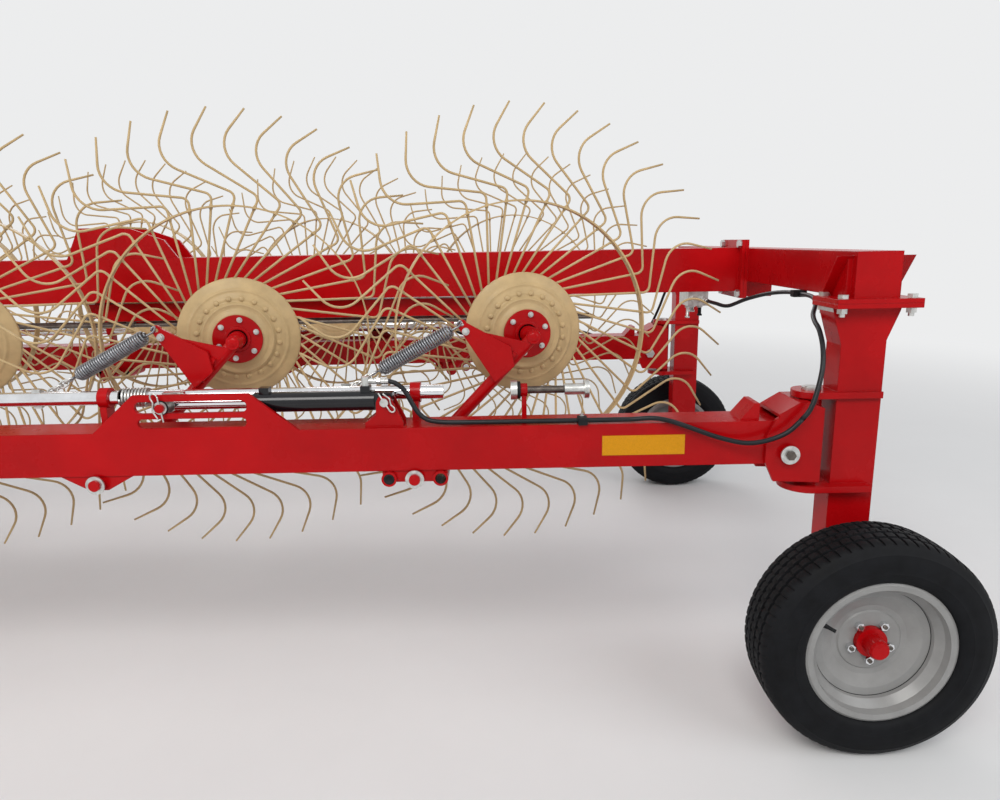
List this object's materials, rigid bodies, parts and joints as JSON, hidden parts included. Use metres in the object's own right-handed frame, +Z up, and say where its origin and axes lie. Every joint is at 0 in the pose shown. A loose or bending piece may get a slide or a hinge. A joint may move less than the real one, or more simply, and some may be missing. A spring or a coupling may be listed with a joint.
{
  "type": "wheel hay rake",
  "caption": "Trailed V-type wheel hay rake folded for the road: arch frame on two tyres, hinged side arms carrying raised finger wheels, lift cylinders, front casters and a jack.",
  "frame": {"origin": "centre of the bounding box on the ground", "axes": "+X forward to the hitch, +Y to the machine's left, +Z up"},
  "size_m": [9.2898, 2.501, 1.8502],
  "materials": {
    "red_paint": "gloss",
    "tan_paint": "semi-gloss",
    "black_paint": "gloss",
    "rim_paint": "satin",
    "zinc": "satin",
    "chrome": "polished",
    "hose": "satin",
    "tyre": "matte"
  },
  "bodies": {
    "frame": {"backbone": "red_paint", "cross_beam": "red_paint", "left_post": "red_paint", "right_post": "red_paint", "tongue": "red_paint", "front_saddle": "red_paint", "hydraulic_block": "zinc", "jack_sleeve": "black_paint"},
    "jack_leg_body": {"jack_leg": "zinc"},
    "left_road_wheel": {"left_tyre": "tyre", "left_rim": "rim_paint", "left_wheel_hub": "red_paint"},
    "left_knuckle_body": {"left_knuckle": "red_paint"},
    "left_arm": {"left_arm_beam": "red_paint", "left_lift_cylinder": "black_paint", "left_arm_hose": "hose"},
    "left_lift": {"left_lift_shaft": "chrome"},
    "left_caster": {"left_caster_fork": "red_paint"},
    "left_caster_roller": {"left_caster_wheel": "tyre"},
    "left_wheel_arm_1_body": {"left_wheel_arm_1": "red_paint"},
    "left_finger_wheel_1_body": {"left_finger_wheel_1": "tan_paint"},
    "left_wheel_arm_2_body": {"left_wheel_arm_2": "red_paint"},
    "left_finger_wheel_2_body": {"left_finger_wheel_2": "tan_paint"},
    "left_wheel_arm_3_body": {"left_wheel_arm_3": "red_paint"},
    "left_finger_wheel_3_body": {"left_finger_wheel_3": "tan_paint"},
    "left_wheel_arm_4_body": {"left_wheel_arm_4": "red_paint"},
    "left_finger_wheel_4_body": {"left_finger_wheel_4": "tan_paint"},
    "left_wheel_arm_5_body": {"left_wheel_arm_5": "red_paint"},
    "left_finger_wheel_5_body": {"left_finger_wheel_5": "tan_paint"},
    "left_wheel_arm_6_body": {"left_wheel_arm_6": "red_paint"},
    "left_finger_wheel_6_body": {"left_finger_wheel_6": "tan_paint"},
    "left_wheel_arm_7_body": {"left_wheel_arm_7": "red_paint"},
    "left_finger_wheel_7_body": {"left_finger_wheel_7": "tan_paint"},
    "right_road_wheel": {"right_tyre": "tyre", "right_rim": "rim_paint", "right_wheel_hub": "red_paint"},
    "right_knuckle_body": {"right_knuckle": "red_paint"},
    "right_arm": {"right_arm_beam": "red_paint", "right_lift_cylinder": "black_paint", "right_arm_hose": "hose"},
    "right_lift": {"right_lift_shaft": "chrome"},
    "right_caster": {"right_caster_fork": "red_paint"},
    "right_caster_roller": {"right_caster_wheel": "tyre"},
    "right_wheel_arm_1_body": {"right_wheel_arm_1": "red_paint"},
    "right_finger_wheel_1_body": {"right_finger_wheel_1": "tan_paint"},
    "right_wheel_arm_2_body": {"right_wheel_arm_2": "red_paint"},
    "right_finger_wheel_2_body": {"right_finger_wheel_2": "tan_paint"},
    "right_wheel_arm_3_body": {"right_wheel_arm_3": "red_paint"},
    "right_finger_wheel_3_body": {"right_finger_wheel_3": "tan_paint"},
    "right_wheel_arm_4_body": {"right_wheel_arm_4": "red_paint"},
    "right_finger_wheel_4_body": {"right_finger_wheel_4": "tan_paint"},
    "right_wheel_arm_5_body": {"right_wheel_arm_5": "red_paint"},
    "right_finger_wheel_5_body": {"right_finger_wheel_5": "tan_paint"},
    "right_wheel_arm_6_body": {"right_wheel_arm_6": "red_paint"},
    "right_finger_wheel_6_body": {"right_finger_wheel_6": "tan_paint"},
    "right_wheel_arm_7_body": {"right_wheel_arm_7": "red_paint"},
    "right_finger_wheel_7_body": {"right_finger_wheel_7": "tan_paint"}
  },
  "joints": [
    {"name": "jack_slide", "type": "slide", "parent": "frame", "child": "jack_leg_body", "axis": [0, 0, 1], "range_m": [0, 0.28]},
    {"name": "left_road_wheel_spin", "type": "hinge", "parent": "frame", "child": "left_road_wheel", "pos_m": [-4.32, 1.148, 0.325], "axis": [0, 1, 0], "continuous": true},
    {"name": "left_arm_swing", "type": "hinge", "parent": "frame", "child": "left_knuckle_body", "pos_m": [-4.202, 0.94, 0.86], "axis": [0, 0, 1], "range_deg": [0, 35], "deforming": ["left_arm_hose"]},
    {"name": "left_arm_float", "type": "hinge", "parent": "left_knuckle_body", "child": "left_arm", "pos_m": [-4.116, 0.94, 0.83], "axis": [0, -1, 0], "range_deg": [0, 6]},
    {"name": "left_lift_slide", "type": "slide", "parent": "left_arm", "child": "left_lift", "axis": [-1, 0, 0], "range_m": [0, 0.17]},
    {"name": "left_caster_swivel", "type": "hinge", "parent": "left_arm", "child": "left_caster", "pos_m": [2.755, 0.94, 0.6], "axis": [0, 0, 1], "continuous": true},
    {"name": "left_caster_spin", "type": "hinge", "parent": "left_caster", "child": "left_caster_roller", "pos_m": [2.625, 0.94, 0.205], "axis": [0, 1, 0], "continuous": true},
    {"name": "left_wheel_arm_1_lift", "type": "hinge", "parent": "left_arm", "child": "left_wheel_arm_1_body", "pos_m": [-3.049, 0.94, 0.774], "axis": [0, -1, 0], "range_deg": [0, 54.5]},
    {"name": "left_finger_wheel_1_spin", "type": "hinge", "parent": "left_wheel_arm_1_body", "child": "left_finger_wheel_1_body", "pos_m": [-3.377, 0.664, 1.149], "axis": [-0.213, 0.977, 0], "continuous": true},
    {"name": "left_wheel_arm_2_lift", "type": "hinge", "parent": "left_arm", "child": "left_wheel_arm_2_body", "pos_m": [-2.135, 0.94, 0.774], "axis": [0, -1, 0], "range_deg": [0, 54.5]},
    {"name": "left_finger_wheel_2_spin", "type": "hinge", "parent": "left_wheel_arm_2_body", "child": "left_finger_wheel_2_body", "pos_m": [-2.463, 0.664, 1.149], "axis": [-0.213, 0.977, 0], "continuous": true},
    {"name": "left_wheel_arm_3_lift", "type": "hinge", "parent": "left_arm", "child": "left_wheel_arm_3_body", "pos_m": [-1.221, 0.94, 0.774], "axis": [0, -1, 0], "range_deg": [0, 54.5]},
    {"name": "left_finger_wheel_3_spin", "type": "hinge", "parent": "left_wheel_arm_3_body", "child": "left_finger_wheel_3_body", "pos_m": [-1.549, 0.664, 1.149], "axis": [-0.213, 0.977, 0], "continuous": true},
    {"name": "left_wheel_arm_4_lift", "type": "hinge", "parent": "left_arm", "child": "left_wheel_arm_4_body", "pos_m": [-0.307, 0.94, 0.774], "axis": [0, -1, 0], "range_deg": [0, 54.5]},
    {"name": "left_finger_wheel_4_spin", "type": "hinge", "parent": "left_wheel_arm_4_body", "child": "left_finger_wheel_4_body", "pos_m": [-0.635, 0.664, 1.149], "axis": [-0.213, 0.977, 0], "continuous": true},
    {"name": "left_wheel_arm_5_lift", "type": "hinge", "parent": "left_arm", "child": "left_wheel_arm_5_body", "pos_m": [0.607, 0.94, 0.774], "axis": [0, -1, 0], "range_deg": [0, 54.5]},
    {"name": "left_finger_wheel_5_spin", "type": "hinge", "parent": "left_wheel_arm_5_body", "child": "left_finger_wheel_5_body", "pos_m": [0.279, 0.664, 1.149], "axis": [-0.213, 0.977, 0], "continuous": true},
    {"name": "left_wheel_arm_6_lift", "type": "hinge", "parent": "left_arm", "child": "left_wheel_arm_6_body", "pos_m": [1.521, 0.94, 0.774], "axis": [0, -1, 0], "range_deg": [0, 54.5]},
    {"name": "left_finger_wheel_6_spin", "type": "hinge", "parent": "left_wheel_arm_6_body", "child": "left_finger_wheel_6_body", "pos_m": [1.193, 0.664, 1.149], "axis": [-0.213, 0.977, 0], "continuous": true},
    {"name": "left_wheel_arm_7_lift", "type": "hinge", "parent": "left_arm", "child": "left_wheel_arm_7_body", "pos_m": [2.435, 0.94, 0.774], "axis": [0, -1, 0], "range_deg": [0, 54.5]},
    {"name": "left_finger_wheel_7_spin", "type": "hinge", "parent": "left_wheel_arm_7_body", "child": "left_finger_wheel_7_body", "pos_m": [2.107, 0.664, 1.149], "axis": [-0.213, 0.977, 0], "continuous": true},
    {"name": "right_road_wheel_spin", "type": "hinge", "parent": "frame", "child": "right_road_wheel", "pos_m": [-4.32, -1.148, 0.325], "axis": [0, 1, 0], "continuous": true},
    {"name": "right_arm_swing", "type": "hinge", "parent": "frame", "child": "right_knuckle_body", "pos_m": [-4.202, -0.94, 0.86], "axis": [0, 0, -1], "range_deg": [0, 35], "deforming": ["right_arm_hose"]},
    {"name": "right_arm_float", "type": "hinge", "parent": "right_knuckle_body", "child": "right_arm", "pos_m": [-4.116, -0.94, 0.83], "axis": [0, -1, 0], "range_deg": [0, 6]},
    {"name": "right_lift_slide", "type": "slide", "parent": "right_arm", "child": "right_lift", "axis": [-1, 0, 0], "range_m": [0, 0.17]},
    {"name": "right_caster_swivel", "type": "hinge", "parent": "right_arm", "child": "right_caster", "pos_m": [2.755, -0.94, 0.6], "axis": [0, 0, 1], "continuous": true},
    {"name": "right_caster_spin", "type": "hinge", "parent": "right_caster", "child": "right_caster_roller", "pos_m": [2.625, -0.94, 0.205], "axis": [0, 1, 0], "continuous": true},
    {"name": "right_wheel_arm_1_lift", "type": "hinge", "parent": "right_arm", "child": "right_wheel_arm_1_body", "pos_m": [-3.049, -0.94, 0.774], "axis": [0, -1, 0], "range_deg": [0, 54.5]},
    {"name": "right_finger_wheel_1_spin", "type": "hinge", "parent": "right_wheel_arm_1_body", "child": "right_finger_wheel_1_body", "pos_m": [-3.377, -0.664, 1.149], "axis": [-0.213, -0.977, 0], "continuous": true},
    {"name": "right_wheel_arm_2_lift", "type": "hinge", "parent": "right_arm", "child": "right_wheel_arm_2_body", "pos_m": [-2.135, -0.94, 0.774], "axis": [0, -1, 0], "range_deg": [0, 54.5]},
    {"name": "right_finger_wheel_2_spin", "type": "hinge", "parent": "right_wheel_arm_2_body", "child": "right_finger_wheel_2_body", "pos_m": [-2.463, -0.664, 1.149], "axis": [-0.213, -0.977, 0], "continuous": true},
    {"name": "right_wheel_arm_3_lift", "type": "hinge", "parent": "right_arm", "child": "right_wheel_arm_3_body", "pos_m": [-1.221, -0.94, 0.774], "axis": [0, -1, 0], "range_deg": [0, 54.5]},
    {"name": "right_finger_wheel_3_spin", "type": "hinge", "parent": "right_wheel_arm_3_body", "child": "right_finger_wheel_3_body", "pos_m": [-1.549, -0.664, 1.149], "axis": [-0.213, -0.977, 0], "continuous": true},
    {"name": "right_wheel_arm_4_lift", "type": "hinge", "parent": "right_arm", "child": "right_wheel_arm_4_body", "pos_m": [-0.307, -0.94, 0.774], "axis": [0, -1, 0], "range_deg": [0, 54.5]},
    {"name": "right_finger_wheel_4_spin", "type": "hinge", "parent": "right_wheel_arm_4_body", "child": "right_finger_wheel_4_body", "pos_m": [-0.635, -0.664, 1.149], "axis": [-0.213, -0.977, 0], "continuous": true},
    {"name": "right_wheel_arm_5_lift", "type": "hinge", "parent": "right_arm", "child": "right_wheel_arm_5_body", "pos_m": [0.607, -0.94, 0.774], "axis": [0, -1, 0], "range_deg": [0, 54.5]},
    {"name": "right_finger_wheel_5_spin", "type": "hinge", "parent": "right_wheel_arm_5_body", "child": "right_finger_wheel_5_body", "pos_m": [0.279, -0.664, 1.149], "axis": [-0.213, -0.977, 0], "continuous": true},
    {"name": "right_wheel_arm_6_lift", "type": "hinge", "parent": "right_arm", "child": "right_wheel_arm_6_body", "pos_m": [1.521, -0.94, 0.774], "axis": [0, -1, 0], "range_deg": [0, 54.5]},
    {"name": "right_finger_wheel_6_spin", "type": "hinge", "parent": "right_wheel_arm_6_body", "child": "right_finger_wheel_6_body", "pos_m": [1.193, -0.664, 1.149], "axis": [-0.213, -0.977, 0], "continuous": true},
    {"name": "right_wheel_arm_7_lift", "type": "hinge", "parent": "right_arm", "child": "right_wheel_arm_7_body", "pos_m": [2.435, -0.94, 0.774], "axis": [0, -1, 0], "range_deg": [0, 54.5]},
    {"name": "right_finger_wheel_7_spin", "type": "hinge", "parent": "right_wheel_arm_7_body", "child": "right_finger_wheel_7_body", "pos_m": [2.107, -0.664, 1.149], "axis": [-0.213, -0.977, 0], "continuous": true}
  ],
  "couplings": [
    {"joint": "left_wheel_arm_1_lift", "follows": "left_lift_slide", "rad_per_m": 5.544},
    {"joint": "left_wheel_arm_2_lift", "follows": "left_lift_slide", "rad_per_m": 5.544},
    {"joint": "left_wheel_arm_3_lift", "follows": "left_lift_slide", "rad_per_m": 5.544},
    {"joint": "left_wheel_arm_4_lift", "follows": "left_lift_slide", "rad_per_m": 5.544},
    {"joint": "left_wheel_arm_5_lift", "follows": "left_lift_slide", "rad_per_m": 5.544},
    {"joint": "left_wheel_arm_6_lift", "follows": "left_lift_slide", "rad_per_m": 5.544},
    {"joint": "left_wheel_arm_7_lift", "follows": "left_lift_slide", "rad_per_m": 5.544},
    {"joint": "right_wheel_arm_1_lift", "follows": "right_lift_slide", "rad_per_m": 5.544},
    {"joint": "right_wheel_arm_2_lift", "follows": "right_lift_slide", "rad_per_m": 5.544},
    {"joint": "right_wheel_arm_3_lift", "follows": "right_lift_slide", "rad_per_m": 5.544},
    {"joint": "right_wheel_arm_4_lift", "follows": "right_lift_slide", "rad_per_m": 5.544},
    {"joint": "right_wheel_arm_5_lift", "follows": "right_lift_slide", "rad_per_m": 5.544},
    {"joint": "right_wheel_arm_6_lift", "follows": "right_lift_slide", "rad_per_m": 5.544},
    {"joint": "right_wheel_arm_7_lift", "follows": "right_lift_slide", "rad_per_m": 5.544}
  ]
}
